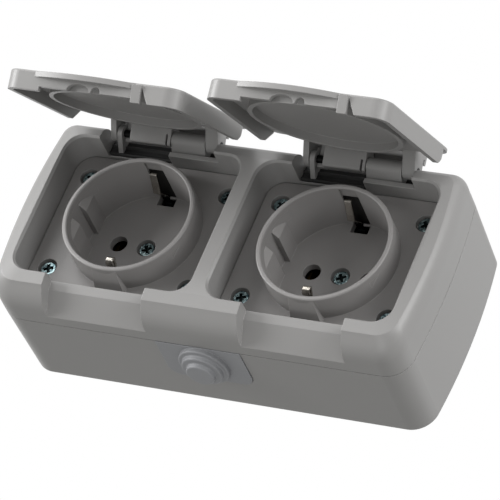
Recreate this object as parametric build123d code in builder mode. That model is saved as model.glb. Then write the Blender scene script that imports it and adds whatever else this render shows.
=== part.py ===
"""Two-gang surface-mounted outdoor socket with hinged lids, in millimetres.

X runs along the box, +Z is up towards the lid hinges and the front faces -Y.
The wall plane is y = 0 and the origin is the centre of the back face.
Distances from the wall towards the front are called levels.
"""
import os
from math import cos, radians, sin

from build123d import *

os.makedirs("parts", exist_ok=True)

# Body, with short sides that bow outwards
body_length = 140.2
body_height = 66.0
body_depth = 44.0
side_bow = 2.4
top_corner = 4.5
bottom_corner = 8.0
corner_fade = 0.4
wall = 2.4
back_wall = 2.5
base_draft = 0.5
cover_depth = 15.2
seam_chamfer = 0.35

# Rounding of the bezel: depth from the front, then set-in at the lower, upper and short edges
bezel_profile = (
    (11.0, 0.0, 0.0, 0.0),
    (8.4, 0.15, 0.0, 0.0),
    (5.3, 1.2, 0.05, 0.1),
    (2.5, 3.3, 1.15, 0.9),
    (0.8, 4.8, 3.0, 2.4),
)
bezel_front = (0.0, 9.0, 6.2, 5.5)

# Wells in the front cover, one for each socket
socket_pitch = 66.0
socket_rise = 1.5
well_width = 60.2
well_height = 50.6
well_radius = 6.0
well_wall = 1.8
well_floor = 1.8
rim_lead = 0.8
rim_angle = 40.0

# Finger scoop in the lower bezel below each lid
scoop_width = 34.0
scoop_drop = 5.1
scoop_sill = 2.9
scoop_sill_fall = 0.6
scoop_slope_end = 10.9

# Socket insert: plate, collar and plug recess
fit_gap = 0.3
plate_thickness = 2.5
collar_setback = 1.2
collar_height = 9.4
collar_radius = 21.1
recess_radius = 19.6
recess_depth = 17.9
floor_thickness = 2.5
collar_edge = 0.5
boss_width_rim = 7.8
boss_width_foot = 10.0
boss_reach = 1.8
key_flat = 17.6
key_groove = 5.0
key_drop = 3.4
key_lead = 1.5
key_slope = 2.6
key_cut = 1.0
earth_slot_width = 5.8
earth_slot_inner = 16.0
earth_slot_outer = 21.2
earth_slot_drop = 5.0
groove_outer = 20.3
groove_drop = 0.9
pin_spacing = 19.0
pin_hole = 5.7

# Screws
screw_span_x = 48.0
screw_span_z = 34.5
head_diameter = 5.0
head_height = 1.0
head_pocket = 6.1
head_depth = 1.8
screw_shank = 3.2
screw_hole = 3.6
screw_length = 19.0
cross_width = 1.0
cross_depth = 0.7
cross_length = 3.2
screw_turns = (20, 55, 90, 125)
centre_turn = 30
post_diameter = 7.0
pilot_gap = 0.05
centre_length = 9.0

# Contacts behind the recess floor
strap_thickness = 0.8
strap_width = 4.6
strap_pad = 8.4
clip_gap = 1.4
clip_width = 2.3
clip_shift = -1.0
clip_foot_rise = 1.0
clip_bow = 2.6
clip_bow_drop = 12.3
clip_drop = 5.5
clip_lean = 0.4
hook_drop = 3.0
hook_inner = 13.8
hook_outer = 16.4
hook_tail = 2.2
block_length = 38.0
block_height = 31.0
block_depth = 11.5
block_radius = 3.0
block_base = 2.5
chamber_width = 8.4
chamber_bottom = 4.6
chamber_top = 13.0
contact_gap = 0.2
leaf_thickness = 1.0
leaf_height = 7.4
leaf_length = 7.6
plug_pin = 4.8
terminal_rise = 9.0
earth_terminal_drop = 10.0
terminal_head = 5.0
terminal_head_height = 1.8
terminal_shank = 3.0
terminal_length = 4.6

# Wall fixing holes through the back
fixing_span_x = 95.0
fixing_span_z = 40.0
fixing_hole = 4.5

# Seal in the seam between cover and base
seal_width = 1.0
seal_height = 1.2
seal_gap = 0.05

# Cable entry with a soft stepped membrane
entry_width = 28.6
entry_height = 16.7
entry_radius = 4.0
entry_flange = 1.4
entry_flange_thickness = 1.2
entry_gap = 0.1
entry_proud = 0.2
membrane_steps = ((8.2, 1.5), (6.6, 3.0), (4.6, 4.5))
membrane_wall = 1.1
membrane_round = 0.5

# Hinge between cover and lid, seen from the well's centre
hinge_rise = 31.3
hinge_setback = 5.0
pin_radius = 1.2
pin_gap = 0.05
knuckle_radius = 2.6
knuckle_gap = 0.3
knuckle_thin = 1.6
notch_left = 20.2
notch_right = 19.3
notch_depth = 9.6
notch_floor = 2.0
ledge_depth = 5.3
ledge_width = 1.6
lid_ear_left = (-18.9, -17.0)
lid_block = (-12.2, 1.8)
lid_ear_right = (14.0, 18.1)
block_front_top = 3.3
block_front_foot = 2.2
block_foot = 2.4
block_edge = 0.8
slit_place = 0.5
slit_width = 0.7
slit_height = 3.4
ear_spread = 4.4
tab_end = 1.8
flap_reach = 4.0
flap_wall = 1.1
flap_drop = 3.5
web_width = 2.6

# Lid, described closed and then swung open
lid_gap = 0.8
lid_proud = 1.5
lid_plate = 2.0
lid_skirt = 6.0
lid_skirt_wall = 1.7
lid_corner = 4.8
lid_edge = 0.6
lid_side_end = 43.4
lid_side_chamfer = 4.8
lid_back_gap = 0.9
lid_overlap = 1.8
lid_lift = 0.3
ring_radius = 23.4
ring_wall = 1.4
ring_setback = 1.4
lip_ends = (-19.0, 14.8)
lip_thickness = 1.7
lip_step = 0.2
lip_reach = 2.8
wedge = (14.0, 17.0)
wedge_reach = 0.9
scallop = (-17.0, 14.0)
scallop_height = 1.3
arches = ((-3.9, 7.6, 2.2), (2.0, 3.2, 1.9))
drain_width = 2.6
drain_height = 4.8
open_angle_left = 65.0
open_angle_right = 69.8

# Levels and places that follow from the sizes above
seam_level = body_depth - cover_depth
rim_level = body_depth - collar_setback
plate_level = rim_level - collar_height
well_level = plate_level - plate_thickness
recess_level = rim_level - recess_depth
strap_level = recess_level - floor_thickness
block_level = strap_level - strap_thickness
block_back = block_level - block_depth
hinge_level = body_depth - hinge_setback
hinge_z = socket_rise + hinge_rise
well_bottom = socket_rise - well_height / 2
well_top = socket_rise + well_height / 2
post_level = well_level - well_floor
entry_level = seam_level - entry_height / 2
lid_width = well_width - 2 * lid_gap
free_edge = -hinge_rise - well_height / 2 + lid_gap
back_edge = -hinge_rise + well_height / 2 + lid_overlap
lid_length = back_edge - free_edge
skirt_length = lid_length - lid_overlap - lid_back_gap
lid_top = hinge_setback + lid_proud
lid_step = hinge_setback + lid_lift
lid_under = lid_top - lid_plate
skirt_end = lid_top - lid_skirt
knuckle_left = (lid_ear_left[1] + knuckle_gap, lid_ear_left[1] + knuckle_gap + knuckle_thin)
knuckle_right = (lid_block[1] + knuckle_gap, lid_ear_right[0] - knuckle_gap)
sockets = {"left": -socket_pitch / 2, "right": socket_pitch / 2}
lid_angles = {"left": open_angle_left, "right": open_angle_right}
well_places = [(x, socket_rise) for x in sockets.values()]
corner_offsets = [
    (sx * screw_span_x / 2, sz * screw_span_z / 2) for sx in (-1, 1) for sz in (-1, 1)
]


def front(level):
    """Sketch plane parallel to the wall, with local X and Y along X and Z."""
    return Plane.XZ.offset(level)


def across(x):
    """Sketch plane square to the box, with local X and Y along Y and Z."""
    return Plane.YZ.offset(x)


def body_outline(lower=0.0, upper=None, short=None):
    """Front outline of the body with bowed short sides, set in at each edge."""
    upper = lower if upper is None else upper
    short = lower if short is None else short
    half = body_length / 2 - side_bow - short
    top = body_height / 2 - upper
    bottom = lower - body_height / 2
    middle = (top + bottom) / 2
    with BuildSketch() as outline:
        with BuildLine():
            Line((-half, top), (half, top))
            ThreePointArc((half, top), (half + side_bow, middle), (half, bottom))
            Line((half, bottom), (-half, bottom))
            ThreePointArc((-half, bottom), (-half - side_bow, middle), (-half, top))
        make_face()
        fillet(outline.vertices().group_by(Axis.Y)[-1], top_corner - corner_fade * upper)
        fillet(outline.vertices().group_by(Axis.Y)[0], bottom_corner - corner_fade * lower)
    return outline.sketch


def seam_ring(width, centre):
    """Thin band that follows the body outline, for the seal and its groove."""
    with BuildSketch() as band:
        add(body_outline(centre - width / 2))
        add(body_outline(centre + width / 2), mode=Mode.SUBTRACT)
    return band.sketch


def cross_recess(place, level, angle):
    """Cross-shaped driver recess cut into a screw head at this level."""
    with BuildSketch(front(level)) as recess:
        with Locations(Location((place[0], place[1], 0), (0, 0, angle))):
            Rectangle(cross_length, cross_width)
            Rectangle(cross_width, cross_length)
    return extrude(recess.sketch, amount=-cross_depth)


# Rear housing with screw posts, fixing holes and the cable entry
with BuildPart() as base_box:
    for level, inset in ((0, base_draft), (seam_level, 0)):
        with BuildSketch(front(level)):
            add(body_outline(inset))
    loft()
    for level, inset in ((back_wall, base_draft + wall), (seam_level, wall)):
        with BuildSketch(front(level)):
            add(body_outline(inset))
    loft(mode=Mode.SUBTRACT)
    with BuildSketch(front(back_wall)):
        for place in well_places:
            with Locations(place):
                with Locations(corner_offsets):
                    Circle(post_diameter / 2)
    extrude(amount=post_level - back_wall)
    with BuildSketch(front(post_level)):
        for place in well_places:
            with Locations(place):
                with Locations(corner_offsets):
                    Circle(screw_shank / 2 + pilot_gap)
    extrude(amount=-screw_length, mode=Mode.SUBTRACT)
    with BuildSketch(front(0)):
        with GridLocations(fixing_span_x, fixing_span_z, 2, 2):
            Circle(fixing_hole / 2)
    extrude(amount=back_wall, mode=Mode.SUBTRACT)
    with BuildSketch(Plane.XY.offset(-body_height / 2)):
        with Locations((0, -seam_level)):
            RectangleRounded(entry_width, entry_height * 2, entry_radius)
    extrude(amount=wall + base_draft, mode=Mode.SUBTRACT)
    with BuildSketch(front(seam_level)):
        add(seam_ring(seal_width + 2 * seal_gap, wall / 2))
    extrude(amount=-seal_height, mode=Mode.SUBTRACT)
base_box.part.label = "base_box"
export_step(base_box.part, "parts/base_box.step")

# Soft seal in the base's rim, interrupted by the cable entry
with BuildPart() as cover_seal:
    with BuildSketch(front(seam_level)):
        add(seam_ring(seal_width, wall / 2))
        with Locations((0, -body_height / 2)):
            Rectangle(entry_width, body_height / 2, mode=Mode.SUBTRACT)
    extrude(amount=-seal_height)
cover_seal.part.label = "cover_seal"
export_step(cover_seal.part, "parts/cover_seal.step")

# Cable entry: a panel slid into the base's wall, with a stepped membrane
entry_outer = -body_height / 2 - entry_proud
entry_inner = -body_height / 2 + wall + base_draft
with BuildPart() as cable_grommet:
    with BuildSketch(Plane.XY.offset(entry_outer)) as panel:
        with Locations((0, -seam_level)):
            RectangleRounded(entry_width - 2 * entry_gap, entry_height * 2 - 2 * entry_gap, entry_radius)
        with Locations((0, -seam_level - entry_height / 2)):
            Rectangle(entry_width, entry_height, mode=Mode.SUBTRACT)
    extrude(amount=entry_inner - entry_outer)
    with BuildSketch(Plane.XY.offset(entry_inner)):
        with Locations((0, -entry_level + entry_flange / 2)):
            RectangleRounded(entry_width + 2 * entry_flange, entry_height + entry_flange, entry_radius)
    extrude(amount=entry_flange_thickness)
    for radius, height in membrane_steps:
        with BuildSketch(Plane.XY.offset(entry_outer)):
            with Locations((0, -entry_level)):
                Circle(radius)
        extrude(amount=-height)
    tops = cable_grommet.edges().filter_by(GeomType.CIRCLE).group_by(Axis.Z)[:3]
    fillet([edge for group in tops for edge in group if edge.radius > membrane_steps[2][0] - 1], membrane_round)
    inside = entry_inner + entry_flange_thickness
    for radius, height in membrane_steps:
        with BuildSketch(Plane.XY.offset(inside)):
            with Locations((0, -entry_level)):
                Circle(radius - membrane_wall)
        extrude(amount=-(inside - entry_outer + height - membrane_wall), mode=Mode.SUBTRACT)
cable_grommet.part.label = "cable_grommet"
export_step(cable_grommet.part, "parts/cable_grommet.step")

# Space inside the front cover, left solid round the wells, notches and scoops
with BuildPart() as cover_space:
    crease_depth, *crease_insets = bezel_profile[-1]
    for level, insets in (
        (seam_level, [wall]),
        (body_depth - bezel_profile[0][0], [wall]),
        (body_depth - crease_depth - wall, [inset + wall for inset in crease_insets]),
    ):
        with BuildSketch(front(level)):
            add(body_outline(*insets))
    loft(ruled=True)
    with BuildSketch(front(post_level)):
        with Locations(*well_places):
            RectangleRounded(well_width + 2 * well_wall, well_height + 2 * well_wall, well_radius + well_wall)
    extrude(amount=body_depth, mode=Mode.SUBTRACT)
    with BuildSketch(front(body_depth - notch_depth - notch_floor)):
        for x in sockets.values():
            with Locations((x, well_top)):
                Rectangle(2 * (notch_left + well_wall), body_height)
    extrude(amount=body_depth, mode=Mode.SUBTRACT)
    with BuildSketch(front(body_depth - scoop_slope_end - well_wall)):
        for x in sockets.values():
            with Locations((x, well_bottom)):
                Rectangle(scoop_width + 2 * well_wall, body_height)
    extrude(amount=body_depth, mode=Mode.SUBTRACT)

# Front cover: bowed shell with two wells, finger scoops and hinge knuckles
with BuildPart() as front_cover:
    for level, inset in (
        (seam_level, seam_chamfer),
        (seam_level + seam_chamfer, 0),
        (body_depth - bezel_profile[0][0], 0),
    ):
        with BuildSketch(front(level)):
            add(body_outline(inset))
    loft(ruled=True)
    for depth, *insets in bezel_profile:
        with BuildSketch(front(body_depth - depth)):
            add(body_outline(*insets))
    loft()
    for depth, *insets in (bezel_profile[-1], bezel_front):
        with BuildSketch(front(body_depth - depth)):
            add(body_outline(*insets))
    loft(ruled=True)
    add(cover_space.part, mode=Mode.SUBTRACT)
    with BuildSketch(front(well_level)):
        with Locations(*well_places):
            RectangleRounded(well_width, well_height, well_radius)
    extrude(amount=body_depth, mode=Mode.SUBTRACT)
    with BuildSketch(front(body_depth - rim_lead)):
        with Locations(*well_places):
            RectangleRounded(well_width, well_height, well_radius)
    extrude(amount=2 * rim_lead, taper=-rim_angle, mode=Mode.SUBTRACT)
    with BuildSketch(front(post_level)):
        for place in well_places:
            with Locations(place):
                Circle(collar_radius + fit_gap)
                with Locations(corner_offsets):
                    Circle(screw_hole / 2)
    extrude(amount=well_floor, mode=Mode.SUBTRACT)
    for x in sockets.values():
        with BuildSketch(across(x - scoop_width / 2)):
            with BuildLine():
                Polyline(
                    (-body_depth + scoop_drop, well_bottom + fit_gap),
                    (-body_depth + scoop_drop, well_bottom),
                    (-body_depth + scoop_drop + scoop_sill_fall, well_bottom - scoop_sill),
                    (-body_depth + scoop_slope_end, -body_height / 2),
                    (-body_depth + scoop_slope_end, -body_height),
                    (-2 * body_depth, -body_height),
                    (-2 * body_depth, well_bottom + fit_gap),
                    close=True,
                )
            make_face()
        extrude(amount=scoop_width, mode=Mode.SUBTRACT)
        with BuildSketch(front(body_depth - notch_depth)):
            with Locations((x + (notch_right - notch_left) / 2, well_top)):
                Rectangle(notch_left + notch_right, body_height, align=(Align.CENTER, Align.MIN))
        extrude(amount=body_depth, mode=Mode.SUBTRACT)
        for start, end in (knuckle_left, knuckle_right):
            with BuildSketch(across(x + start)):
                with Locations((-hinge_level, hinge_z)):
                    Circle(knuckle_radius)
                with Locations((notch_depth + notch_floor / 2 - body_depth, (well_top + body_height / 2) / 2)):
                    Rectangle(notch_floor, body_height / 2 - well_top - 2 * knuckle_gap)
                make_hull()
            extrude(amount=end - start)
        with BuildSketch(across(x + knuckle_right[0])):
            with Locations((-body_depth + ledge_depth, well_top)):
                Rectangle(notch_depth - ledge_depth + notch_floor / 2, ledge_width, align=(Align.MIN, Align.MIN))
        extrude(amount=notch_right - knuckle_right[0])
        with BuildSketch(across(x + lid_ear_left[0])):
            with Locations((-hinge_level, hinge_z)):
                Circle(pin_radius + pin_gap)
        extrude(amount=lid_ear_right[1] - lid_ear_left[0], mode=Mode.SUBTRACT)
front_cover.part.label = "front_cover"
export_step(front_cover.part, "parts/front_cover.step")

for side, x in sockets.items():
    centre = (x, socket_rise)
    corners = [(x + dx, socket_rise + dz) for dx, dz in corner_offsets]

    # Socket insert: plate, collar with earth housings, keyed recess and its floor
    with BuildPart() as insert:
        with BuildSketch(front(well_level)):
            with Locations(centre):
                RectangleRounded(well_width - 2 * fit_gap, well_height - 2 * fit_gap, well_radius - fit_gap)
        extrude(amount=plate_thickness)
        for level, width, reach in (
            (plate_level, boss_width_foot, collar_radius + boss_reach),
            (rim_level, boss_width_rim, collar_radius - collar_edge),
        ):
            with BuildSketch(front(level)):
                with Locations(centre):
                    Rectangle(width, 2 * reach)
        loft()
        with BuildSketch(front(strap_level)):
            with Locations(centre):
                Circle(collar_radius)
        extrude(amount=rim_level - strap_level)
        with BuildSketch(front(recess_level)):
            with Locations(centre):
                Circle(recess_radius)
        extrude(amount=recess_depth, mode=Mode.SUBTRACT)
        fillet(
            insert.edges().filter_by(GeomType.CIRCLE).group_by(Axis.Y)[0],
            collar_edge,
        )
        with BuildSketch(front(recess_level)):
            with Locations(centre):
                Circle(recess_radius + collar_edge)
                Rectangle(2 * key_flat, 2 * collar_radius, mode=Mode.SUBTRACT)
                Rectangle(2 * collar_radius, key_groove, mode=Mode.SUBTRACT)
        extrude(amount=recess_depth - key_drop)
        key_top = -rim_level + key_drop
        for hand in (-1, 1):
            with BuildSketch(Plane.XY.offset(socket_rise - collar_radius / 2)):
                with BuildLine():
                    Polyline(
                        (x + hand * (key_flat - key_cut), key_top - key_cut),
                        (x + hand * (recess_radius + collar_edge / 2), key_top - key_cut),
                        (x + hand * (key_flat + key_lead), key_top),
                        (x + hand * key_flat, key_top + key_slope),
                        (x + hand * (key_flat - key_cut), key_top + key_slope),
                        close=True,
                    )
                make_face()
            extrude(amount=collar_radius, mode=Mode.SUBTRACT)
        with BuildSketch(front(strap_level)):
            for hand in (-1, 1):
                with Locations((x, socket_rise + hand * (earth_slot_inner + earth_slot_outer) / 2)):
                    Rectangle(earth_slot_width, earth_slot_outer - earth_slot_inner)
        extrude(amount=rim_level - earth_slot_drop - strap_level, mode=Mode.SUBTRACT)
        with BuildSketch(front(rim_level - earth_slot_drop)):
            for hand in (-1, 1):
                with Locations((x, socket_rise + hand * (earth_slot_inner + groove_outer) / 2)):
                    Rectangle(earth_slot_width, groove_outer - earth_slot_inner)
        extrude(amount=earth_slot_drop - groove_drop, mode=Mode.SUBTRACT)
        with BuildSketch(front(strap_level)):
            with Locations(centre):
                with GridLocations(pin_spacing, 0, 2, 1):
                    Circle(pin_hole / 2)
                Circle(screw_hole / 2)
        extrude(amount=floor_thickness, mode=Mode.SUBTRACT)
        with BuildSketch(front(recess_level)):
            with Locations(centre):
                Circle(head_pocket / 2)
        extrude(amount=-head_depth, mode=Mode.SUBTRACT)
        with BuildSketch(front(well_level)):
            with Locations(*corners):
                Circle(screw_hole / 2)
        extrude(amount=plate_thickness, mode=Mode.SUBTRACT)
        with BuildSketch(front(plate_level)):
            with Locations(*corners):
                Circle(head_pocket / 2)
        extrude(amount=-head_depth, mode=Mode.SUBTRACT)
    insert.part.label = f"socket_insert_{side}"
    export_step(insert.part, f"parts/socket_insert_{side}.step")

    # Four crosshead screws through the insert and cover into the base's posts
    with BuildPart() as insert_screws:
        seat = plate_level - head_depth
        with BuildSketch(front(seat)):
            with Locations(*corners):
                Circle(head_diameter / 2)
        extrude(amount=head_height)
        fillet(insert_screws.edges().group_by(Axis.Y)[0], head_height / 3)
        with BuildSketch(front(seat)):
            with Locations(*corners):
                Circle(screw_shank / 2)
        extrude(amount=-screw_length)
        for turn, corner in zip(screw_turns, corners):
            add(cross_recess(corner, seat + head_height, turn), mode=Mode.SUBTRACT)
    insert_screws.part.label = f"insert_screws_{side}"
    export_step(insert_screws.part, f"parts/insert_screws_{side}.step")

    # Centre screw that holds the contact block behind the recess floor
    with BuildPart() as centre_screw:
        seat = recess_level - head_depth
        with BuildSketch(front(seat)):
            with Locations(centre):
                Circle(head_diameter / 2)
        extrude(amount=head_height)
        fillet(centre_screw.edges().group_by(Axis.Y)[0], head_height / 3)
        with BuildSketch(front(seat)):
            with Locations(centre):
                Circle(screw_shank / 2)
        extrude(amount=-centre_length)
        add(cross_recess(centre, seat + head_height, centre_turn), mode=Mode.SUBTRACT)
    centre_screw.part.label = f"centre_screw_{side}"
    export_step(centre_screw.part, f"parts/centre_screw_{side}.step")

    # Earth strap: a bridge behind the floor, a bowed clip above and a hooked clip below
    clip_foot = earth_slot_outer - clip_gap
    clip_back = clip_foot - strap_thickness
    clip_start = recess_level + clip_foot_rise
    bow_level = rim_level - clip_bow_drop
    clip_top = rim_level - clip_drop
    hook_top = rim_level - hook_drop
    hook_under = hook_top - strap_thickness
    bowed_clip = [
        (block_level, clip_foot),
        (clip_start, clip_foot),
        (bow_level, clip_foot - clip_bow),
        (clip_top, clip_foot - clip_lean),
        (clip_top, clip_back - clip_lean),
        (bow_level, clip_back - clip_bow),
        (clip_start, clip_back),
        (block_level, clip_back),
    ]
    hooked_clip = [
        (block_level, clip_back),
        (clip_start, clip_back),
        (hook_under, hook_inner),
        (hook_top, hook_inner + strap_thickness),
        (hook_top, hook_outer - strap_thickness),
        (hook_under, hook_outer),
        (hook_top - hook_tail, hook_outer),
        (hook_top - hook_tail, hook_outer - strap_thickness),
        (hook_under, hook_outer - strap_thickness),
        (hook_under, hook_inner + strap_thickness),
        (clip_start, clip_foot),
        (block_level, clip_foot),
    ]
    with BuildPart() as earth_strap:
        with BuildSketch(front(block_level)):
            with Locations(centre):
                Rectangle(strap_width, 2 * clip_foot)
        extrude(amount=strap_thickness)
        for hand, outline in ((1, bowed_clip), (-1, hooked_clip)):
            with BuildSketch(across(x + clip_shift - clip_width / 2)):
                with BuildLine():
                    Polyline([(-level, socket_rise + hand * reach) for level, reach in outline], close=True)
                make_face()
            extrude(amount=clip_width)
        with BuildSketch(front(block_level)):
            with Locations(centre, (x, socket_rise - earth_terminal_drop)):
                Circle(strap_pad / 2)
        extrude(amount=strap_thickness)
        with BuildSketch(front(block_level)):
            with Locations(centre):
                Circle(screw_hole / 2)
            with Locations((x, socket_rise - earth_terminal_drop)):
                Circle(terminal_shank / 2 + pilot_gap)
        extrude(amount=strap_thickness, mode=Mode.SUBTRACT)
    earth_strap.part.label = f"earth_strap_{side}"
    export_step(earth_strap.part, f"parts/earth_strap_{side}.step")

    # Insulating block with a chamber for each pin contact
    terminals = [(x + hand * pin_spacing / 2, socket_rise + terminal_rise) for hand in (-1, 1)]
    earth_terminal = (x, socket_rise - earth_terminal_drop)
    with BuildPart() as contact_block:
        with BuildSketch(front(block_back)):
            with Locations(centre):
                RectangleRounded(block_length, block_height, block_radius)
        extrude(amount=block_depth)
        with BuildSketch(front(block_back + block_base)):
            with Locations((x, socket_rise - chamber_bottom)):
                with GridLocations(pin_spacing, 0, 2, 1):
                    Rectangle(chamber_width, chamber_bottom + chamber_top, align=(Align.CENTER, Align.MIN))
        extrude(amount=block_depth, mode=Mode.SUBTRACT)
        with BuildSketch(front(block_back)):
            with Locations(*terminals, earth_terminal):
                Circle(terminal_shank / 2 + pilot_gap)
        extrude(amount=block_depth, mode=Mode.SUBTRACT)
        with BuildSketch(front(block_level)):
            with Locations(centre):
                Circle(screw_shank / 2 + pilot_gap)
        extrude(amount=-centre_length, mode=Mode.SUBTRACT)
    contact_block.part.label = f"contact_block_{side}"
    export_step(contact_block.part, f"parts/contact_block_{side}.step")

    # Pin contacts: a base strip with two sprung leaves and a terminal end
    for role, hand in (("line", -1), ("neutral", 1)):
        pin_x = x + hand * pin_spacing / 2
        with BuildPart() as pin_contact:
            width = chamber_width - 2 * contact_gap
            with BuildSketch(front(block_back + block_base)):
                with Locations((pin_x, socket_rise - chamber_bottom + contact_gap)):
                    Rectangle(
                        width,
                        chamber_bottom + chamber_top - 2 * contact_gap,
                        align=(Align.CENTER, Align.MIN),
                    )
                with Locations((pin_x, socket_rise + terminal_rise)):
                    Circle(terminal_shank / 2 + pilot_gap, mode=Mode.SUBTRACT)
            extrude(amount=leaf_thickness)
            with BuildSketch(front(block_back + block_base)):
                with Locations((pin_x, socket_rise)):
                    with GridLocations(plug_pin + leaf_thickness, 0, 2, 1):
                        Rectangle(leaf_thickness, leaf_length)
            extrude(amount=leaf_height)
        pin_contact.part.label = f"{role}_contact_{side}"
        export_step(pin_contact.part, f"parts/{role}_contact_{side}.step")

    # Terminal screws, headed on the back of the block
    with BuildPart() as terminal_screws:
        with BuildSketch(front(block_back)):
            with Locations(*terminals, earth_terminal):
                Circle(terminal_head / 2)
        extrude(amount=-terminal_head_height)
        with BuildSketch(front(block_back)):
            with Locations(*terminals):
                Circle(terminal_shank / 2)
        extrude(amount=terminal_length)
        with BuildSketch(front(block_back)):
            with Locations(earth_terminal):
                Circle(terminal_shank / 2)
        extrude(amount=block_depth + strap_thickness)
        with BuildSketch(front(block_back - terminal_head_height)):
            with Locations(*terminals, earth_terminal):
                Rectangle(terminal_head, cross_width)
        extrude(amount=cross_depth, mode=Mode.SUBTRACT)
    terminal_screws.part.label = f"terminal_screws_{side}"
    export_step(terminal_screws.part, f"parts/terminal_screws_{side}.step")

    # Hinge pin through the cover's knuckles and the lid's ears
    with BuildPart() as hinge_pin:
        with BuildSketch(across(x + lid_ear_left[0])):
            with Locations((-hinge_level, hinge_z)):
                Circle(pin_radius)
        extrude(amount=lid_ear_right[1] - lid_ear_left[0])
    hinge_pin.part.label = f"hinge_pin_{side}"
    export_step(hinge_pin.part, f"parts/hinge_pin_{side}.step")

    # Lid, drawn about its hinge axis: local Y towards the hinge, local Z outwards
    swing = radians(lid_angles[side])
    lid_out = (0, -cos(swing), sin(swing))
    lid_up = (0, sin(swing), cos(swing))
    lid_plane = Plane(origin=(x, -hinge_level, hinge_z), x_dir=(1, 0, 0), z_dir=lid_out)
    lid_side = Plane(origin=(x, -hinge_level, hinge_z), x_dir=lid_up, z_dir=(1, 0, 0))
    with BuildPart() as lid:
        with BuildSketch(lid_plane.offset(skirt_end)):
            with Locations((0, free_edge + skirt_length / 2)):
                RectangleRounded(lid_width, skirt_length, lid_corner)
        extrude(amount=lid_step - skirt_end)
        with BuildSketch(lid_plane.offset(lid_step)):
            with Locations((0, free_edge + lid_length / 2)):
                RectangleRounded(lid_width, lid_length, lid_corner)
        extrude(amount=lid_top - lid_step)
        fillet(lid.faces().sort_by(Axis((0, 0, 0), lid_out))[-1].edges(), lid_edge)
        with BuildSketch(lid_plane.offset(skirt_end)):
            with Locations((0, free_edge + lid_skirt_wall)):
                RectangleRounded(
                    lid_width - 2 * lid_skirt_wall,
                    2 * lid_length,
                    lid_corner - lid_skirt_wall,
                    align=(Align.CENTER, Align.MIN),
                )
        extrude(amount=lid_skirt - lid_plate, mode=Mode.SUBTRACT)
        with BuildSketch(lid_side.offset(-lid_width / 2)):
            with BuildLine():
                Polyline(
                    (free_edge + lid_side_end, skirt_end),
                    (free_edge + lid_side_end + lid_side_chamfer, lid_under),
                    (0, lid_under),
                    (0, skirt_end),
                    close=True,
                )
            make_face()
        extrude(amount=lid_width, mode=Mode.SUBTRACT)

        # Ring that closes round the collar
        with BuildSketch(lid_plane.offset(skirt_end + ring_setback)):
            with Locations((0, -hinge_rise)):
                Circle(ring_radius)
                Circle(ring_radius - ring_wall, mode=Mode.SUBTRACT)
        extrude(amount=lid_skirt - ring_setback - lid_plate)

        # Finger lip, the wedge at its right end, and the scallop, arches and notch in the wall below
        lip_left, lip_right = lip_ends
        with BuildSketch(lid_plane.offset(lid_top - lip_thickness - lip_step)):
            with BuildLine():
                ThreePointArc(
                    (lip_left, free_edge),
                    ((lip_left + lip_right) / 2, free_edge - lip_reach),
                    (lip_right, free_edge),
                )
                Polyline(
                    (lip_right, free_edge),
                    (lip_right, free_edge + lid_skirt_wall),
                    (lip_left, free_edge + lid_skirt_wall),
                    (lip_left, free_edge),
                )
            make_face()
        extrude(amount=lip_thickness)
        with BuildSketch(lid_side.offset(wedge[0])):
            with BuildLine():
                Polyline(
                    (free_edge + lid_skirt_wall / 2, lid_top - lid_edge),
                    (free_edge - wedge_reach, lid_top - lid_edge),
                    (free_edge, skirt_end),
                    (free_edge + lid_skirt_wall / 2, skirt_end),
                    close=True,
                )
            make_face()
        extrude(amount=wedge[1] - wedge[0])
        lid_end = Plane(
            origin=lid_plane.from_local_coords((0, free_edge, skirt_end)),
            x_dir=(1, 0, 0),
            z_dir=tuple(-c for c in lid_up),
        )
        with BuildSketch(lid_end):
            with Locations(((scallop[0] + scallop[1]) / 2, 0)):
                Rectangle(scallop[1] - scallop[0], 2 * scallop_height)
            for place, width, height in arches:
                with Locations((place, scallop_height)):
                    Ellipse(width / 2, height)
            with BuildLine():
                Polyline(
                    (wedge[1], 0),
                    (wedge[1] + drain_width, 0),
                    (wedge[1], drain_height),
                    close=True,
                )
            make_face()
        extrude(amount=-lid_skirt_wall, mode=Mode.SUBTRACT)

        # Hinge tab over the pin, with two ears, a slit block, a web beside it and a rear flap
        with BuildSketch(lid_plane.offset(lid_under)):
            with Locations((lid_ear_left[0], back_edge - lid_edge)):
                Rectangle(
                    lid_ear_right[1] - lid_ear_left[0],
                    tab_end - back_edge + lid_edge,
                    align=(Align.MIN, Align.MIN),
                )
        extrude(amount=lid_plate)
        for ear_start, ear_end in (lid_ear_left, lid_ear_right):
            with BuildSketch(lid_side.offset(ear_start)):
                Circle(knuckle_radius)
                for place in (-ear_spread, tab_end - lid_plate / 2):
                    with Locations((place, lid_top - lid_plate / 2)):
                        Circle(lid_plate / 2)
                make_hull()
            extrude(amount=ear_end - ear_start)
        with BuildSketch(lid_side.offset(lid_block[0])) as block_profile:
            with BuildLine():
                Polyline(
                    (-block_front_top, lid_under),
                    (-block_front_foot, -block_foot),
                    (block_front_foot, -block_foot),
                    (block_front_foot, lid_under),
                    close=True,
                )
            make_face()
            fillet(block_profile.vertices().group_by(Axis.Y)[0], block_edge)
        extrude(amount=lid_block[1] - lid_block[0])
        with BuildSketch(lid_side.offset(lid_block[0] - web_width)):
            with Locations((0, -block_foot)):
                Rectangle(block_front_foot, lid_under + block_foot, align=(Align.MIN, Align.MIN))
        extrude(amount=web_width)
        with BuildSketch(lid_side.offset(lid_ear_left[0])):
            with BuildLine():
                Polyline(
                    (back_edge, lid_under),
                    (flap_reach - flap_wall, lid_under),
                    (flap_reach - flap_wall, lid_top - flap_drop),
                    (flap_reach, lid_top - flap_drop),
                    (flap_reach, lid_top),
                    (back_edge, lid_top),
                    close=True,
                )
            make_face()
        extrude(amount=lid_ear_right[1] - lid_ear_left[0])
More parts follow.
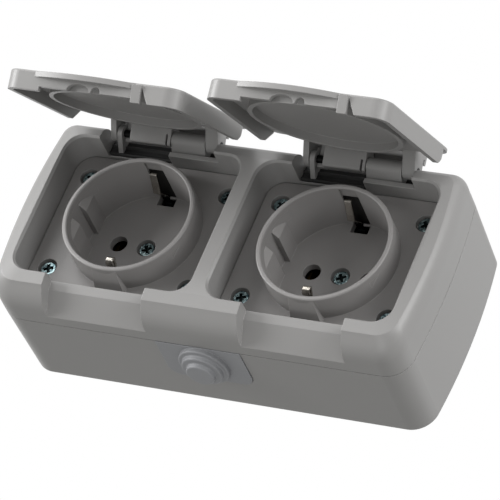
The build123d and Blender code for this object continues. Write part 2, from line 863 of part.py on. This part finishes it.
        with BuildSketch(lid_side.offset(slit_place - slit_width / 2)):
            with Locations((-block_front_top, -block_foot)):
                Rectangle(block_front_top, slit_height, align=(Align.MIN, Align.MIN))
        extrude(amount=slit_width, mode=Mode.SUBTRACT)
        with BuildSketch(lid_side.offset(lid_ear_left[0])):
            Circle(pin_radius + pin_gap)
        extrude(amount=lid_ear_right[1] - lid_ear_left[0], mode=Mode.SUBTRACT)
    lid.part.label = f"lid_{side}"
    export_step(lid.part, f"parts/lid_{side}.step")
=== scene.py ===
"""Finishes and small linings for a twin outdoor socket with hinged lids, in a pale studio."""

from math import cos, radians, sin

import bmesh
import bpy
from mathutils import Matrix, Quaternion, Vector


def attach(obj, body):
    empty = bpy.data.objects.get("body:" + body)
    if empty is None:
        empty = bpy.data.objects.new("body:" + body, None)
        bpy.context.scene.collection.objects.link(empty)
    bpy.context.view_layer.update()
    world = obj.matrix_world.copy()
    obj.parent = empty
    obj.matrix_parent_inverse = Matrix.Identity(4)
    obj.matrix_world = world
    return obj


bl_info = {
    "name": "Outdoor Socket Finishes",
    "version": (1, 0, 0),
    "blender": (4, 5, 0),
    "location": "3D View > Sidebar > Socket",
    "description": "Gives a twin outdoor socket its moulded, soft and plated finishes in a pale studio",
    "category": "Material",
}

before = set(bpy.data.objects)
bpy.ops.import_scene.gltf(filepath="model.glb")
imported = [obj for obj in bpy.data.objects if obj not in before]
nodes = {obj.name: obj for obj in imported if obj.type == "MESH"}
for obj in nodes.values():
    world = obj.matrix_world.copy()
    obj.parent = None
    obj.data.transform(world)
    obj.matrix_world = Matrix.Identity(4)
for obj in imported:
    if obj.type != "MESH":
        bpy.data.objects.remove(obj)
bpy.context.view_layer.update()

MM = 0.001
SIDES = ("left", "right")

# Materials that more than one operator uses
INSERT_MATERIAL = "Polyamide moulded matt grey"
BLOCK_AND_SLOT_SHADE_MATERIAL = "Phenolic moulded black"

# Places in millimetres; a level is a distance from the wall, a reach one from the socket's middle
SOCKET_X = {"left": -33.0, "right": 33.0}
SOCKET_RISE = 1.5
# Outline of a hinge seal as levels and heights, and its ends from the socket's middle
HINGE_SEAL = (
    (34.4, 27.1),
    (35.2, 27.1),
    (35.6, 27.6),
    (35.2, 28.2),
    (35.2, 29.6),
    (35.7, 30.2),
    (35.2, 30.8),
    (35.2, 32.0),
    (34.9, 32.5),
    (34.4, 32.5),
)
HINGE_SEAL_ENDS = (-19.9, 19.0)
# Outlines across and out from the socket's middle
SLOT_SHADE_CHANNEL = (
    (-2.88, 19.9),
    (-2.73, 19.9),
    (-2.73, 21.03),
    (2.73, 21.03),
    (2.73, 19.9),
    (2.88, 19.9),
    (2.88, 21.18),
    (-2.88, 21.18),
)
SLOT_LEVELS = (23.0, 37.7)
SLOT_SILL = ((0.35, 19.2), (2.85, 19.2), (2.85, 19.85), (0.35, 19.85))
SILL_LEVELS = (24.1, 24.9)
# Stretch of collar wall: its two radii, half the angle it spans, its levels and its facets
WALL_REACH = (19.6, 21.09)
WALL_HALF_ANGLE = 33.6
WALL_LEVELS = (36.6, 40.6)
WALL_STEPS = 40
ROUNDING_SEGMENTS = 2

# Painted shade: the dark grey that metal is painted deep in a recess, where little light reaches
PAINTED_SHADE_GREY = "#1F2627"
PLASTIC_IOR = 1.53
BEVEL_SAMPLES = 6


def linear(code):
    """An sRGB hex code as linear red, green and blue."""
    parts = [int(code[i : i + 2], 16) / 255 for i in (1, 3, 5)]
    return tuple(c / 12.92 if c <= 0.04045 else ((c + 0.055) / 1.055) ** 2.4 for c in parts)


def add_node(tree, kind, inputs=None, **settings):
    """One node with its settings; an input is a value, or another node's output to link from."""
    node = tree.nodes.new(kind)
    for setting, value in settings.items():
        setattr(node, setting, value)
    for socket, value in (inputs or {}).items():
        if isinstance(value, bpy.types.NodeSocket):
            tree.links.new(value, node.inputs[socket])
        else:
            node.inputs[socket].default_value = value
    return node


def both_sides(*stems):
    """Names of the like pieces of the left and the right socket."""
    return [f"{stem}_{side}" for stem in stems for side in SIDES]


def dress(material, names):
    """Puts one material on these CAD nodes."""
    for name in names:
        mesh = nodes[name].data
        mesh.materials.clear()
        mesh.materials.append(material)


def shade(colour, factor):
    """A linear colour made lighter or darker, with its alpha."""
    return (*(min(1.0, c * factor) for c in colour), 1.0)


def moulded_plastic(name, colour, roughness, grain, grain_depth, cloud, edge):
    """Injection-moulded plastic: an even satin skin with the mould's fine spark-eroded grain.

    The eye sees a soft, wide highlight, a faint cloud where the melt flowed, and each edge as a thin
    lighter line: its rounded normal catches the lamps, since no moulded edge is truly sharp, and a
    painted highlight lightens the colour along it.
    """
    material = bpy.data.materials.new(name)
    material.use_nodes = True
    tree = material.node_tree
    shader = tree.nodes["Principled BSDF"]
    place = add_node(tree, "ShaderNodeTexCoord").outputs["Object"]
    flow = add_node(
        tree,
        "ShaderNodeTexNoise",
        {"Vector": place, "Scale": 1 / cloud, "Detail": 3.0, "Roughness": 0.55},
    )
    rounded = add_node(tree, "ShaderNodeBevel", {"Radius": edge}, samples=BEVEL_SAMPLES)
    true_normal = add_node(tree, "ShaderNodeNewGeometry").outputs["Normal"]
    alike = add_node(
        tree,
        "ShaderNodeVectorMath",
        {0: rounded.outputs["Normal"], 1: true_normal},
        operation="DOT_PRODUCT",
    )
    # Painted highlight: along each edge the colour is mixed towards a lighter grey
    edge_highlight_mask = add_node(
        tree,
        "ShaderNodeMapRange",
        {"Value": alike.outputs["Value"], "From Min": 0.99, "From Max": 0.8, "To Max": 0.8},
    )
    # A colour mix has its sockets by number: 0 is the share, 6 and 7 the colours, 2 the result
    body = add_node(
        tree,
        "ShaderNodeMix",
        {0: flow.outputs["Fac"], 6: shade(colour, 0.95), 7: shade(colour, 1.05)},
        data_type="RGBA",
    )
    painted_edge_highlight = add_node(
        tree,
        "ShaderNodeMix",
        {0: edge_highlight_mask.outputs["Result"], 6: body.outputs[2], 7: shade(colour, 1.5)},
        data_type="RGBA",
    )
    gloss = add_node(
        tree,
        "ShaderNodeMapRange",
        {"Value": flow.outputs["Fac"], "To Min": roughness - 0.03, "To Max": roughness + 0.05},
    )
    pits = add_node(
        tree,
        "ShaderNodeTexNoise",
        {"Vector": place, "Scale": 1 / grain, "Detail": 2.0, "Roughness": 0.6},
    )
    skin = add_node(
        tree,
        "ShaderNodeBump",
        {
            "Strength": 0.35,
            "Distance": grain_depth,
            "Height": pits.outputs["Fac"],
            "Normal": rounded.outputs["Normal"],
        },
    )
    tree.links.new(painted_edge_highlight.outputs[2], shader.inputs["Base Color"])
    tree.links.new(gloss.outputs["Result"], shader.inputs["Roughness"])
    tree.links.new(skin.outputs["Normal"], shader.inputs["Normal"])
    shader.inputs["IOR"].default_value = PLASTIC_IOR
    return material


def plated_metal(name, colour, second, roughness, patch, edge, painted_shade_levels=None):
    """Plated or rolled metal: a mirror broken by fine marks, with patches of a second tint.

    Between the two given distances from the wall, the metal's colour turns dark grey: painted shade, as
    at the foot of a drive's cross and at a clip's foot in its slot.
    """
    material = bpy.data.materials.new(name)
    material.use_nodes = True
    tree = material.node_tree
    shader = tree.nodes["Principled BSDF"]
    place = add_node(tree, "ShaderNodeTexCoord").outputs["Object"]
    patches = add_node(
        tree, "ShaderNodeTexNoise", {"Vector": place, "Scale": 1 / patch, "Detail": 4.0}
    )
    spread = add_node(
        tree,
        "ShaderNodeMapRange",
        {"Value": patches.outputs["Fac"], "From Min": 0.38, "From Max": 0.62},
    ).outputs["Result"]
    tint = add_node(
        tree,
        "ShaderNodeMix",
        {0: spread, 6: shade(colour, 1.0), 7: shade(second, 1.0)},
        data_type="RGBA",
    ).outputs[2]
    # Painted shade: nearer the wall than the first given level the colour darkens, and past the second
    # it is dark grey
    if painted_shade_levels:
        inward = add_node(tree, "ShaderNodeSeparateXYZ", {0: place}).outputs["Y"]
        painted_shade_share = add_node(
            tree,
            "ShaderNodeMapRange",
            {"Value": inward, "From Min": -painted_shade_levels[0], "From Max": -painted_shade_levels[1]},
        ).outputs["Result"]
        tint = add_node(
            tree,
            "ShaderNodeMix",
            {0: painted_shade_share, 6: tint, 7: (*linear(PAINTED_SHADE_GREY), 1.0)},
            data_type="RGBA",
        ).outputs[2]
    gloss = add_node(
        tree,
        "ShaderNodeMapRange",
        {"Value": patches.outputs["Fac"], "To Min": roughness - 0.06, "To Max": roughness + 0.1},
    )
    rounded = add_node(tree, "ShaderNodeBevel", {"Radius": edge}, samples=BEVEL_SAMPLES)
    skin = add_node(
        tree,
        "ShaderNodeBump",
        {
            "Strength": 0.2,
            "Distance": 0.02 * MM,
            "Height": patches.outputs["Fac"],
            "Normal": rounded.outputs["Normal"],
        },
    )
    tree.links.new(tint, shader.inputs["Base Color"])
    tree.links.new(gloss.outputs["Result"], shader.inputs["Roughness"])
    tree.links.new(skin.outputs["Normal"], shader.inputs["Normal"])
    shader.inputs["Metallic"].default_value = 1.0
    return material


def extruded(name, outline, along, start, end, material, slot):
    """A strip with one outline all along it, on the box.

    The outline is a list of points and along is the extruded axis, 0 for X or 1 for Y;
    the points then hold (Y, Z) or (X, Z).
    """
    mesh = bpy.data.meshes.new(name)
    form = bmesh.new()
    rings = []
    for place in (start, end):
        ring = []
        for first, second in outline:
            point = [first, second]
            point.insert(along, place)
            ring.append(form.verts.new(point))
        rings.append(ring)
    form.faces.new(rings[0])
    form.faces.new(reversed(rings[1]))
    for i in range(len(outline)):
        j = (i + 1) % len(outline)
        form.faces.new((rings[0][i], rings[1][i], rings[1][j], rings[0][j]))
    bmesh.ops.recalc_face_normals(form, faces=form.faces)
    form.to_mesh(mesh)
    form.free()
    mesh.materials.append(material)
    piece = bpy.data.objects.new(name, mesh)
    bpy.context.scene.collection.objects.link(piece)
    rounding = piece.modifiers.new("moulded edges", "BEVEL")
    rounding.width = bpy.context.scene.socket_plastic.rounding
    rounding.segments = ROUNDING_SEGMENTS
    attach(piece, "box")
    return piece


class PlasticFinish(bpy.types.PropertyGroup):
    """Greys of the moulded pieces and the skin that their moulds give them."""

    cover_grey: bpy.props.FloatVectorProperty(
        name="Cover grey",
        description="Colour of the cover, the base and the lids",
        subtype="COLOR",
        default=linear("#8E8D8C"),
    )
    insert_grey: bpy.props.FloatVectorProperty(
        name="Insert grey",
        description="Colour of the two inserts with the plug recesses",
        subtype="COLOR",
        default=linear("#868483"),
    )
    entry_grey: bpy.props.FloatVectorProperty(
        name="Entry grey",
        description="Colour of the soft cable entry",
        subtype="COLOR",
        default=linear("#8B8C8F"),
    )
    # A real pit is under 0.1 mm wide, too fine to show, so it is drawn coarser
    grain: bpy.props.FloatProperty(
        name="Grain",
        description="Width of one pit of the mould's spark-eroded grain",
        unit="LENGTH",
        default=0.45 * MM,
    )
    edge: bpy.props.FloatProperty(
        name="Edge",
        description="Radius that a moulded edge shows to the light",
        unit="LENGTH",
        default=0.3 * MM,
    )
    rounding: bpy.props.FloatProperty(
        name="Rounding",
        description="Rounding on the edges of the linings, collar walls and hinge seals",
        unit="LENGTH",
        default=0.06 * MM,
    )


class MetalFinish(bpy.types.PropertyGroup):
    """Tints of the screws, clips, contacts and pins."""

    zinc: bpy.props.FloatVectorProperty(
        name="Zinc",
        description="Clear blue of the screws' passivated zinc",
        subtype="COLOR",
        default=linear("#B4CBCD"),
    )
    zinc_dark: bpy.props.FloatVectorProperty(
        name="Zinc, dark",
        description="Patches where the passivated zinc has gone dark",
        subtype="COLOR",
        default=linear("#3F5359"),
    )
    nickel: bpy.props.FloatVectorProperty(
        name="Nickel",
        description="Warm white of the earth clips' plating",
        subtype="COLOR",
        default=linear("#D2CEC6"),
    )
    brass: bpy.props.FloatVectorProperty(
        name="Brass",
        description="Colour of the stamped contacts",
        subtype="COLOR",
        default=linear("#6E5831"),
    )


class Studio(bpy.types.PropertyGroup):
    """Light, floor and camera around the socket."""

    sky: bpy.props.FloatProperty(
        name="Sky", description="Even light from all sides", min=0.0, default=0.44
    )
    left_lamp: bpy.props.FloatProperty(
        name="Left lamp",
        description="Lamp level with the socket at its left",
        unit="POWER",
        default=10.4,
    )
    key_lamp: bpy.props.FloatProperty(
        name="Key lamp",
        description="Lamp before the socket, high at the left",
        unit="POWER",
        default=3.8,
    )
    right_lamp: bpy.props.FloatProperty(
        name="Right lamp",
        description="Lamp before the socket's right end",
        unit="POWER",
        default=6.6,
    )
    fill_lamp: bpy.props.FloatProperty(
        name="Fill lamp", description="Weak lamp near the camera", unit="POWER", default=1.4
    )
    low_lamp: bpy.props.FloatProperty(
        name="Low lamp", description="Weak lamp below the socket", unit="POWER", default=1.9
    )
    floor_drop: bpy.props.FloatProperty(
        name="Floor drop",
        description="How far under the socket the floor lies, as under a wall fitting",
        unit="LENGTH",
        default=2.5,
    )
    lens: bpy.props.FloatProperty(
        name="Lens", description="Focal length on a 36 mm sensor", unit="CAMERA", default=288.0
    )


class SOCKET_OT_housing(bpy.types.Operator):
    """Dresses the cover, the base and the lids in grey moulded ABS"""

    bl_idname = "socket.housing"
    bl_label = "Housing and Lids"

    def execute(self, context):
        finish = context.scene.socket_plastic
        # A satin skin: the lamps show as wide pale bands and not as spots
        abs_grey = moulded_plastic(
            "ABS moulded satin grey",
            finish.cover_grey,
            0.40,
            finish.grain,
            0.03 * MM,
            45 * MM,
            finish.edge,
        )
        dress(abs_grey, ["front_cover", "base_box", *both_sides("lid")])
        return {"FINISHED"}


class SOCKET_OT_inserts(bpy.types.Operator):
    """Dresses the inserts in heat-resistant polyamide and the contact blocks in black phenolic"""

    bl_idname = "socket.inserts"
    bl_label = "Inserts and Blocks"

    def execute(self, context):
        finish = context.scene.socket_plastic
        # Flatter than the cover: filled polyamide scatters more and shows less of the lamps
        insert = moulded_plastic(
            INSERT_MATERIAL,
            finish.insert_grey,
            0.44,
            finish.grain,
            0.03 * MM,
            30 * MM,
            finish.edge,
        )
        dress(insert, both_sides("socket_insert"))
        # Nearly black and dull, so that the slots and holes before it look empty
        block = moulded_plastic(
            BLOCK_AND_SLOT_SHADE_MATERIAL,
            linear("#232221"),
            0.5,
            finish.grain,
            0.03 * MM,
            15 * MM,
            finish.edge,
        )
        dress(block, both_sides("contact_block"))
        return {"FINISHED"}


class SOCKET_OT_slot_linings(bpy.types.Operator):
    """Adds a black channel behind each earth clip, painted shade for the dark seen through the slot,
    and the floor's edge beside each upper clip
    """

    bl_idname = "socket.slot_linings"
    bl_label = "Slot Linings"

    def execute(self, context):
        insert = bpy.data.materials[INSERT_MATERIAL]
        block = bpy.data.materials[BLOCK_AND_SLOT_SHADE_MATERIAL]
        slot_ends = [-level * MM for level in SLOT_LEVELS]
        sill_ends = [-level * MM for level in SILL_LEVELS]
        for side, middle in SOCKET_X.items():
            # Painted shade: a black channel behind each clip, where the slot looks into the dark
            # housing
            for place, way in (("upper", 1), ("lower", -1)):
                channel = [
                    ((middle + x) * MM, (SOCKET_RISE + way * reach) * MM)
                    for x, reach in SLOT_SHADE_CHANNEL
                ]
                name = f"slot_channel_{place}_{side}"
                extruded(name, channel, 1, *slot_ends, block, "block_plastic")
            sill = [((middle + x) * MM, (SOCKET_RISE + reach) * MM) for x, reach in SLOT_SILL]
            extruded(f"slot_sill_{side}", sill, 1, *sill_ends, insert, "insert_plastic")
        return {"FINISHED"}


class SOCKET_OT_collar_walls(bpy.types.Operator):
    """Adds the collar wall behind the sloped tops of the keys, at both sides of each recess"""

    bl_idname = "socket.collar_walls"
    bl_label = "Collar Walls"

    def execute(self, context):
        insert = bpy.data.materials[INSERT_MATERIAL]
        ends = [-level * MM for level in WALL_LEVELS]
        inner, outer = WALL_REACH
        turns = [
            radians(WALL_HALF_ANGLE * (2 * i / WALL_STEPS - 1)) for i in range(WALL_STEPS + 1)
        ]
        sector = [(outer * cos(a), outer * sin(a)) for a in turns]
        sector += [(inner * cos(a), inner * sin(a)) for a in reversed(turns)]
        for side, middle in SOCKET_X.items():
            for hand, across in (("left", -1), ("right", 1)):
                outline = [
                    ((middle + across * x) * MM, (SOCKET_RISE + z) * MM) for x, z in sector
                ]
                name = f"collar_wall_{hand}_{side}"
                extruded(name, outline, 1, *ends, insert, "insert_plastic")
        return {"FINISHED"}


class SOCKET_OT_soft(bpy.types.Operator):
    """Dresses the cable entry and the seam's seal in soft moulded and extruded rubber"""

    bl_idname = "socket.soft"
    bl_label = "Cable Entry and Seal"

    def execute(self, context):
        finish = context.scene.socket_plastic
        # Soft and bluer than the cover, with hardly a highlight
        entry = moulded_plastic(
            "TPE moulded soft grey",
            finish.entry_grey,
            0.52,
            finish.grain,
            0.02 * MM,
            12 * MM,
            finish.edge,
        )
        dress(entry, ["cable_grommet"])
        # Mid grey, so that the seam stays a faint line
        cord = moulded_plastic(
            "EPDM extruded grey",
            linear("#626261"),
            0.65,
            finish.grain,
            0.04 * MM,
            10 * MM,
            finish.edge,
        )
        dress(cord, ["cover_seal"])
        return {"FINISHED"}


class SOCKET_OT_hinge_seals(bpy.types.Operator):
    """Adds a lip seal with two ridges to the floor of each hinge notch, behind the pin; it keeps some
    light out from behind, and its black is painted shade for the dark notch
    """

    bl_idname = "socket.hinge_seals"
    bl_label = "Hinge Seals"

    def execute(self, context):
        finish = context.scene.socket_plastic
        # Carbon-black rubber, dark and dull from every side; its black is painted shade for the dark of
        # the notch
        seal = moulded_plastic(
            "EPDM moulded black",
            linear("#161616"),
            0.7,
            finish.grain,
            0.04 * MM,
            10 * MM,
            finish.edge,
        )
        profile = [(-level * MM, height * MM) for level, height in HINGE_SEAL]
        for side, middle in SOCKET_X.items():
            ends = [(middle + reach) * MM for reach in HINGE_SEAL_ENDS]
            extruded(f"hinge_seal_{side}", profile, 0, *ends, seal, "seal_rubber")
        return {"FINISHED"}


class SOCKET_OT_metals(bpy.types.Operator):
    """Dresses the screws, earth clips, contacts and hinge pins in their metals"""

    bl_idname = "socket.metals"
    bl_label = "Metals"

    def execute(self, context):
        finish = context.scene.socket_metal
        # The two levels for each screw set where its colour turns to painted shade, at the foot of the
        # drive's cross
        for stem, label, painted_shade_levels in (
            ("insert_screws", "Steel zinc-plated blue", (32.4 * MM, 32.0 * MM)),
            ("centre_screw", "Steel zinc-plated blue in the recess", (23.9 * MM, 23.5 * MM)),
            ("terminal_screws", "Steel zinc-plated blue inside", None),
        ):
            # Clear blue glints on the rims, broken by dark patches
            zinc = plated_metal(
                label, finish.zinc, finish.zinc_dark, 0.26, 0.8 * MM, 0.12 * MM, painted_shade_levels
            )
            dress(zinc, both_sides(stem))
        # A warm mirror at the clips' bows, with painted shade darkening their feet deep in the slots
        nickel = plated_metal(
            "Spring bronze nickel-plated",
            finish.nickel,
            linear("#BDB7AD"),
            0.2,
            6 * MM,
            0.5 * MM,
            (27.0 * MM, 25.0 * MM),
        )
        dress(nickel, both_sides("earth_strap"))
        # Brown and dull, so that the pin holes stay dark
        brass = plated_metal(
            "Brass stamped, tarnished", finish.brass, linear("#4A3B22"), 0.42, 2 * MM, 0.15 * MM
        )
        dress(brass, both_sides("line_contact", "neutral_contact"))
        # Black and faintly shiny along its length
        wire = plated_metal(
            "Steel drawn, black-oxided",
            linear("#2C2C2C"),
            linear("#202020"),
            0.45,
            1 * MM,
            0.1 * MM,
        )
        dress(wire, both_sides("hinge_pin"))
        return {"FINISHED"}


# Where each lamp shines from: azimuth and elevation in degrees, distance and width in metres
LAMP_PLACES = {
    "left_lamp": (-60.0, 0.0, 1.1, 0.5),
    "key_lamp": (-35.0, 35.0, 1.1, 0.5),
    "right_lamp": (60.0, 15.0, 1.1, 0.5),
    "fill_lamp": (35.0, -5.0, 1.1, 0.5),
    "low_lamp": (10.0, -65.0, 1.1, 0.5),
}
CAMERA_AIM = Vector((0.00264, -0.02794, 0.00420))
CAMERA_AZIMUTH = 29.965
CAMERA_ELEVATION = -28.742
CAMERA_ROLL = 23.722
CAMERA_DISTANCE = 1.2056
FLOOR_HALF = 20.0


def from_direction(azimuth, elevation):
    """Unit vector from the socket towards an azimuth and elevation; azimuth 0 is its front."""
    a, e = radians(azimuth), radians(elevation)
    return Vector((sin(a) * cos(e), -cos(a) * cos(e), sin(e)))


class SOCKET_OT_studio(bpy.types.Operator):
    """Sets up the floor, the even sky, the soft lamps and the camera"""

    bl_idname = "socket.studio"
    bl_label = "Studio"

    def execute(self, context):
        scene = context.scene
        studio = scene.socket_studio
        self.lay_floor(scene, studio)
        self.light_sky(scene, studio)
        for name, (azimuth, elevation, distance, width) in LAMP_PLACES.items():
            lamp = bpy.data.lights.new(name, "AREA")
            lamp.energy = getattr(studio, name)
            lamp.size = width
            holder = bpy.data.objects.new(name, lamp)
            way = from_direction(azimuth, elevation)
            holder.location = CAMERA_AIM + way * distance
            holder.rotation_mode = "QUATERNION"
            holder.rotation_quaternion = (-way).to_track_quat("-Z", "Y")
            scene.collection.objects.link(holder)
        lens = bpy.data.cameras.new("camera")
        lens.lens = studio.lens
        lens.sensor_width = 36.0
        lens.clip_start, lens.clip_end = 0.05, 100.0
        camera = bpy.data.objects.new("camera", lens)
        way = from_direction(CAMERA_AZIMUTH, CAMERA_ELEVATION)
        camera.location = CAMERA_AIM + way * CAMERA_DISTANCE
        camera.rotation_mode = "QUATERNION"
        roll = Quaternion((0.0, 0.0, 1.0), radians(CAMERA_ROLL))
        camera.rotation_quaternion = (-way).to_track_quat("-Z", "Y") @ roll
        scene.collection.objects.link(camera)
        scene.camera = camera
        scene.view_settings.view_transform = "Standard"
        return {"FINISHED"}

    def lay_floor(self, scene, studio):
        """Plain pale floor far below, since the socket hangs on a wall."""
        corners = [
            (x * FLOOR_HALF, y * FLOOR_HALF, -studio.floor_drop)
            for x, y in ((-1, -1), (1, -1), (1, 1), (-1, 1))
        ]
        mesh = bpy.data.meshes.new("floor")
        mesh.from_pydata(corners, [], [(0, 1, 2, 3)])
        paint = bpy.data.materials.new("Matt paint rolled pale")
        paint.use_nodes = True
        shader = paint.node_tree.nodes["Principled BSDF"]
        shader.inputs["Base Color"].default_value = (*linear("#E9E9E7"), 1.0)
        shader.inputs["Roughness"].default_value = 0.85
        mesh.materials.append(paint)
        floor = bpy.data.objects.new("floor", mesh)
        scene.collection.objects.link(floor)

    def light_sky(self, scene, studio):
        """Even light, and plain white where the camera or a gloss sees past the socket."""
        world = bpy.data.worlds.new("sky")
        scene.world = world
        world.use_nodes = True
        tree = world.node_tree
        tree.nodes.clear()
        path = add_node(tree, "ShaderNodeLightPath")
        mirrored = add_node(
            tree,
            "ShaderNodeMath",
            {0: path.outputs["Is Glossy Ray"], 1: path.outputs["Is Transmission Ray"]},
            operation="MAXIMUM",
        )
        seen = add_node(
            tree,
            "ShaderNodeMath",
            {0: path.outputs["Is Camera Ray"], 1: mirrored.outputs["Value"]},
            operation="MAXIMUM",
        )
        light = add_node(
            tree, "ShaderNodeBackground", {"Color": (1.0, 1.0, 1.0, 1.0), "Strength": studio.sky}
        )
        white = add_node(
            tree, "ShaderNodeBackground", {"Color": (1.0, 1.0, 1.0, 1.0), "Strength": 1.0}
        )
        chosen = add_node(
            tree,
            "ShaderNodeMixShader",
            {0: seen.outputs["Value"], 1: light.outputs[0], 2: white.outputs[0]},
        )
        add_node(tree, "ShaderNodeOutputWorld", {"Surface": chosen.outputs[0]})


class SOCKET_PT_finishes(bpy.types.Panel):
    """Lists the finishes and the studio in the sidebar."""

    bl_idname = "SOCKET_PT_finishes"
    bl_label = "Outdoor Socket"
    bl_space_type = "VIEW_3D"
    bl_region_type = "UI"
    bl_category = "Socket"

    def draw(self, context):
        for group in ("socket_plastic", "socket_metal", "socket_studio"):
            settings = getattr(context.scene, group)
            column = self.layout.column(align=True)
            for name in settings.__annotations__:
                column.prop(settings, name)
        for operator in OPERATORS:
            self.layout.operator(operator.bl_idname)


GROUPS = {
    "socket_plastic": PlasticFinish,
    "socket_metal": MetalFinish,
    "socket_studio": Studio,
}
OPERATORS = (
    SOCKET_OT_housing,
    SOCKET_OT_inserts,
    SOCKET_OT_slot_linings,
    SOCKET_OT_collar_walls,
    SOCKET_OT_soft,
    SOCKET_OT_hinge_seals,
    SOCKET_OT_metals,
    SOCKET_OT_studio,
)


def register():
    """Adds the settings, operators and panel."""
    for name, group in GROUPS.items():
        bpy.utils.register_class(group)
        setattr(bpy.types.Scene, name, bpy.props.PointerProperty(type=group))
    for made in (*OPERATORS, SOCKET_PT_finishes):
        bpy.utils.register_class(made)


def unregister():
    """Takes them away again."""
    for made in (SOCKET_PT_finishes, *reversed(OPERATORS)):
        bpy.utils.unregister_class(made)
    for name, group in GROUPS.items():
        delattr(bpy.types.Scene, name)
        bpy.utils.unregister_class(group)


def main():
    """Registers and runs each operator in order."""
    register()
    bpy.ops.socket.housing()
    bpy.ops.socket.inserts()
    bpy.ops.socket.slot_linings()
    bpy.ops.socket.collar_walls()
    bpy.ops.socket.soft()
    bpy.ops.socket.hinge_seals()
    bpy.ops.socket.metals()
    bpy.ops.socket.studio()


if __name__ == "__main__":
    main()
